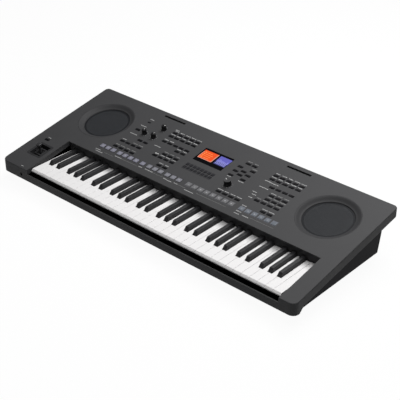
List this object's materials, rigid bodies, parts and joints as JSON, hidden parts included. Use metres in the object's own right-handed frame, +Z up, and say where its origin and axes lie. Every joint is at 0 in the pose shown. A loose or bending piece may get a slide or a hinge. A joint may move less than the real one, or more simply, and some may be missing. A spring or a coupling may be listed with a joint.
{
  "type": "arranger keyboard",
  "caption": "Electronic keyboard instrument with a tilted control panel, built-in speakers, a display, buttons, knobs, a joystick and hinged piano-style keys.",
  "frame": {"origin": "on the plane that the rubber feet stand on, under the middle of the case", "axes": "+X to the player's right, +Y to the rear, +Z up"},
  "size_m": [1.004, 0.403, 0.1356],
  "materials": {
    "case_plastic": "fine matte grain",
    "lower_plastic": "matte black",
    "knob_plastic": "satin black",
    "button_plastic": "satin black",
    "pad_plastic": "translucent grey",
    "white_key": "satin white",
    "black_key": "satin black",
    "frame_steel": "zinc plated",
    "felt": "felt",
    "contact_rubber": "silicone",
    "foot_rubber": "matte",
    "circuit_board": "solder mask",
    "cable": "ribbon",
    "socket_plastic": "black moulding",
    "socket_metal": "stamped shell",
    "grille": "perforated, matte",
    "paper_cone": "pressed paper",
    "magnet": "ferrite",
    "window": "clear",
    "display": "lit screen"
  },
  "bodies": {
    "case": {"bottom_case": "lower_plastic", "button_rubber_sheet": "contact_rubber", "case_screws": "frame_steel", "control_panel": "case_plastic", "dc_inlet": "socket_plastic", "display_module": "display", "display_window": "window", "front_rail": "case_plastic", "joystick_housing": "lower_plastic", "key_contact_board": "circuit_board", "key_contact_rubber": "contact_rubber", "key_fascia": "lower_plastic", "key_frame": "frame_steel", "key_hinge_rod": "frame_steel", "key_stop_felts": "felt", "main_board": "circuit_board", "panel_board": "circuit_board", "phones_jack": "socket_plastic", "rear_jacks": "socket_plastic", "ribbon_cables": "cable", "rotary_pots": "socket_plastic", "rubber_feet": "foot_rubber", "speaker_bowls": "case_plastic", "speaker_grilles": "grille", "top_case": "case_plastic", "usb_sockets": "socket_metal", "woofer_cones": "paper_cone", "woofer_frames": "frame_steel", "woofer_magnets": "magnet"},
    "style_buttons": {"style_buttons": "button_plastic"},
    "function_buttons": {"function_buttons": "button_plastic"},
    "sequence_buttons": {"sequence_buttons": "button_plastic"},
    "voice_buttons": {"voice_buttons": "button_plastic"},
    "part_buttons": {"part_buttons": "button_plastic"},
    "memory_buttons": {"memory_buttons": "button_plastic"},
    "cursor_buttons": {"cursor_buttons": "button_plastic"},
    "display_buttons": {"display_buttons": "button_plastic"},
    "power_button": {"power_button": "button_plastic"},
    "style_pads": {"style_pads": "pad_plastic"},
    "transport_pads": {"transport_pads": "pad_plastic"},
    "memory_pads": {"memory_pads": "pad_plastic"},
    "part_pads": {"part_pads": "pad_plastic"},
    "volume_knob": {"volume_knob": "knob_plastic"},
    "live_knob_left": {"live_knob_left": "knob_plastic"},
    "live_knob_right": {"live_knob_right": "knob_plastic"},
    "data_dial": {"data_dial": "knob_plastic"},
    "joystick_gimbal": {"joystick_gimbal": "lower_plastic"},
    "joystick_lever": {"joystick_lever": "knob_plastic"},
    "keys_c": {"keys_c": "white_key"},
    "keys_c_sharp": {"keys_c_sharp": "black_key"},
    "keys_d": {"keys_d": "white_key"},
    "keys_d_sharp": {"keys_d_sharp": "black_key"},
    "keys_e": {"keys_e": "white_key"},
    "keys_f": {"keys_f": "white_key"},
    "keys_f_sharp": {"keys_f_sharp": "black_key"},
    "keys_g": {"keys_g": "white_key"},
    "keys_g_sharp": {"keys_g_sharp": "black_key"},
    "keys_a": {"keys_a": "white_key"},
    "keys_a_sharp": {"keys_a_sharp": "black_key"},
    "keys_b": {"keys_b": "white_key"}
  },
  "joints": [
    {"name": "keys_c_press", "type": "hinge", "parent": "case", "child": "keys_c", "pos_m": [0.027, 0.00791, 0.0543], "axis": [1, 0, 0], "range_deg": [0, 2.9], "stiffness_Nm_per_rad": 4, "springref_deg": -8.59},
    {"name": "keys_c_sharp_press", "type": "hinge", "parent": "case", "child": "keys_c_sharp", "pos_m": [0.027, 0.00791, 0.0543], "axis": [1, 0, 0], "range_deg": [0, 2.9], "stiffness_Nm_per_rad": 4, "springref_deg": -8.59},
    {"name": "keys_d_press", "type": "hinge", "parent": "case", "child": "keys_d", "pos_m": [0.027, 0.00791, 0.0543], "axis": [1, 0, 0], "range_deg": [0, 2.9], "stiffness_Nm_per_rad": 4, "springref_deg": -8.59},
    {"name": "keys_d_sharp_press", "type": "hinge", "parent": "case", "child": "keys_d_sharp", "pos_m": [0.027, 0.00791, 0.0543], "axis": [1, 0, 0], "range_deg": [0, 2.9], "stiffness_Nm_per_rad": 4, "springref_deg": -8.59},
    {"name": "keys_e_press", "type": "hinge", "parent": "case", "child": "keys_e", "pos_m": [0.027, 0.00791, 0.0543], "axis": [1, 0, 0], "range_deg": [0, 2.9], "stiffness_Nm_per_rad": 4, "springref_deg": -8.59},
    {"name": "keys_f_press", "type": "hinge", "parent": "case", "child": "keys_f", "pos_m": [0.027, 0.00791, 0.0543], "axis": [1, 0, 0], "range_deg": [0, 2.9], "stiffness_Nm_per_rad": 4, "springref_deg": -8.59},
    {"name": "keys_f_sharp_press", "type": "hinge", "parent": "case", "child": "keys_f_sharp", "pos_m": [0.027, 0.00791, 0.0543], "axis": [1, 0, 0], "range_deg": [0, 2.9], "stiffness_Nm_per_rad": 4, "springref_deg": -8.59},
    {"name": "keys_g_press", "type": "hinge", "parent": "case", "child": "keys_g", "pos_m": [0.027, 0.00791, 0.0543], "axis": [1, 0, 0], "range_deg": [0, 2.9], "stiffness_Nm_per_rad": 4, "springref_deg": -8.59},
    {"name": "keys_g_sharp_press", "type": "hinge", "parent": "case", "child": "keys_g_sharp", "pos_m": [0.027, 0.00791, 0.0543], "axis": [1, 0, 0], "range_deg": [0, 2.9], "stiffness_Nm_per_rad": 4, "springref_deg": -8.59},
    {"name": "keys_a_press", "type": "hinge", "parent": "case", "child": "keys_a", "pos_m": [0.027, 0.00791, 0.0543], "axis": [1, 0, 0], "range_deg": [0, 2.9], "stiffness_Nm_per_rad": 4, "springref_deg": -8.59},
    {"name": "keys_a_sharp_press", "type": "hinge", "parent": "case", "child": "keys_a_sharp", "pos_m": [0.027, 0.00791, 0.0543], "axis": [1, 0, 0], "range_deg": [0, 2.9], "stiffness_Nm_per_rad": 4, "springref_deg": -8.59},
    {"name": "keys_b_press", "type": "hinge", "parent": "case", "child": "keys_b", "pos_m": [0.027, 0.00791, 0.0543], "axis": [1, 0, 0], "range_deg": [0, 2.9], "stiffness_Nm_per_rad": 4, "springref_deg": -8.59},
    {"name": "style_buttons_press", "type": "slide", "parent": "case", "child": "style_buttons", "axis": [0, 0.1736, -0.9848], "range_m": [0, 0.0012], "stiffness_N_per_m": 600, "springref_m": -0.001},
    {"name": "function_buttons_press", "type": "slide", "parent": "case", "child": "function_buttons", "axis": [0, 0.1736, -0.9848], "range_m": [0, 0.0012], "stiffness_N_per_m": 600, "springref_m": -0.001},
    {"name": "sequence_buttons_press", "type": "slide", "parent": "case", "child": "sequence_buttons", "axis": [0, 0.1736, -0.9848], "range_m": [0, 0.0012], "stiffness_N_per_m": 600, "springref_m": -0.001},
    {"name": "voice_buttons_press", "type": "slide", "parent": "case", "child": "voice_buttons", "axis": [0, 0.1736, -0.9848], "range_m": [0, 0.0012], "stiffness_N_per_m": 600, "springref_m": -0.001},
    {"name": "part_buttons_press", "type": "slide", "parent": "case", "child": "part_buttons", "axis": [0, 0.1736, -0.9848], "range_m": [0, 0.0012], "stiffness_N_per_m": 600, "springref_m": -0.001},
    {"name": "memory_buttons_press", "type": "slide", "parent": "case", "child": "memory_buttons", "axis": [0, 0.1736, -0.9848], "range_m": [0, 0.0012], "stiffness_N_per_m": 600, "springref_m": -0.001},
    {"name": "cursor_buttons_press", "type": "slide", "parent": "case", "child": "cursor_buttons", "axis": [0, 0.1736, -0.9848], "range_m": [0, 0.0012], "stiffness_N_per_m": 600, "springref_m": -0.001},
    {"name": "display_buttons_press", "type": "slide", "parent": "case", "child": "display_buttons", "axis": [0, 0.1736, -0.9848], "range_m": [0, 0.0012], "stiffness_N_per_m": 600, "springref_m": -0.001},
    {"name": "power_button_press", "type": "slide", "parent": "case", "child": "power_button", "axis": [0, 0.1736, -0.9848], "range_m": [0, 0.0012], "stiffness_N_per_m": 600, "springref_m": -0.001},
    {"name": "style_pads_press", "type": "slide", "parent": "case", "child": "style_pads", "axis": [0, 0.1736, -0.9848], "range_m": [0, 0.0012], "stiffness_N_per_m": 600, "springref_m": -0.001},
    {"name": "transport_pads_press", "type": "slide", "parent": "case", "child": "transport_pads", "axis": [0, 0.1736, -0.9848], "range_m": [0, 0.0012], "stiffness_N_per_m": 600, "springref_m": -0.001},
    {"name": "memory_pads_press", "type": "slide", "parent": "case", "child": "memory_pads", "axis": [0, 0.1736, -0.9848], "range_m": [0, 0.0012], "stiffness_N_per_m": 600, "springref_m": -0.001},
    {"name": "part_pads_press", "type": "slide", "parent": "case", "child": "part_pads", "axis": [0, 0.1736, -0.9848], "range_m": [0, 0.0012], "stiffness_N_per_m": 600, "springref_m": -0.001},
    {"name": "volume_knob_turn", "type": "hinge", "parent": "case", "child": "volume_knob", "pos_m": [-0.209, 0.13334, 0.12104], "axis": [0, -0.1736, 0.9848], "range_deg": [-150, 150]},
    {"name": "live_knob_left_turn", "type": "hinge", "parent": "case", "child": "live_knob_left", "pos_m": [-0.2435, 0.091, 0.11357], "axis": [0, -0.1736, 0.9848], "range_deg": [-150, 150]},
    {"name": "live_knob_right_turn", "type": "hinge", "parent": "case", "child": "live_knob_right", "pos_m": [-0.209, 0.091, 0.11357], "axis": [0, -0.1736, 0.9848], "range_deg": [-150, 150]},
    {"name": "data_dial_turn", "type": "hinge", "parent": "case", "child": "data_dial", "pos_m": [0.0974, 0.04372, 0.10524], "axis": [0, -0.1736, 0.9848], "continuous": true},
    {"name": "joystick_fore_aft", "type": "hinge", "parent": "case", "child": "joystick_gimbal", "pos_m": [-0.4395, -0.11622, 0.0679], "axis": [1, 0, 0], "range_deg": [-18, 18], "stiffness_Nm_per_rad": 0.08},
    {"name": "joystick_side", "type": "hinge", "parent": "joystick_gimbal", "child": "joystick_lever", "pos_m": [-0.4395, -0.11622, 0.0679], "axis": [0, 0.9848, 0.1736], "range_deg": [-18, 18], "stiffness_Nm_per_rad": 0.08}
  ]
}
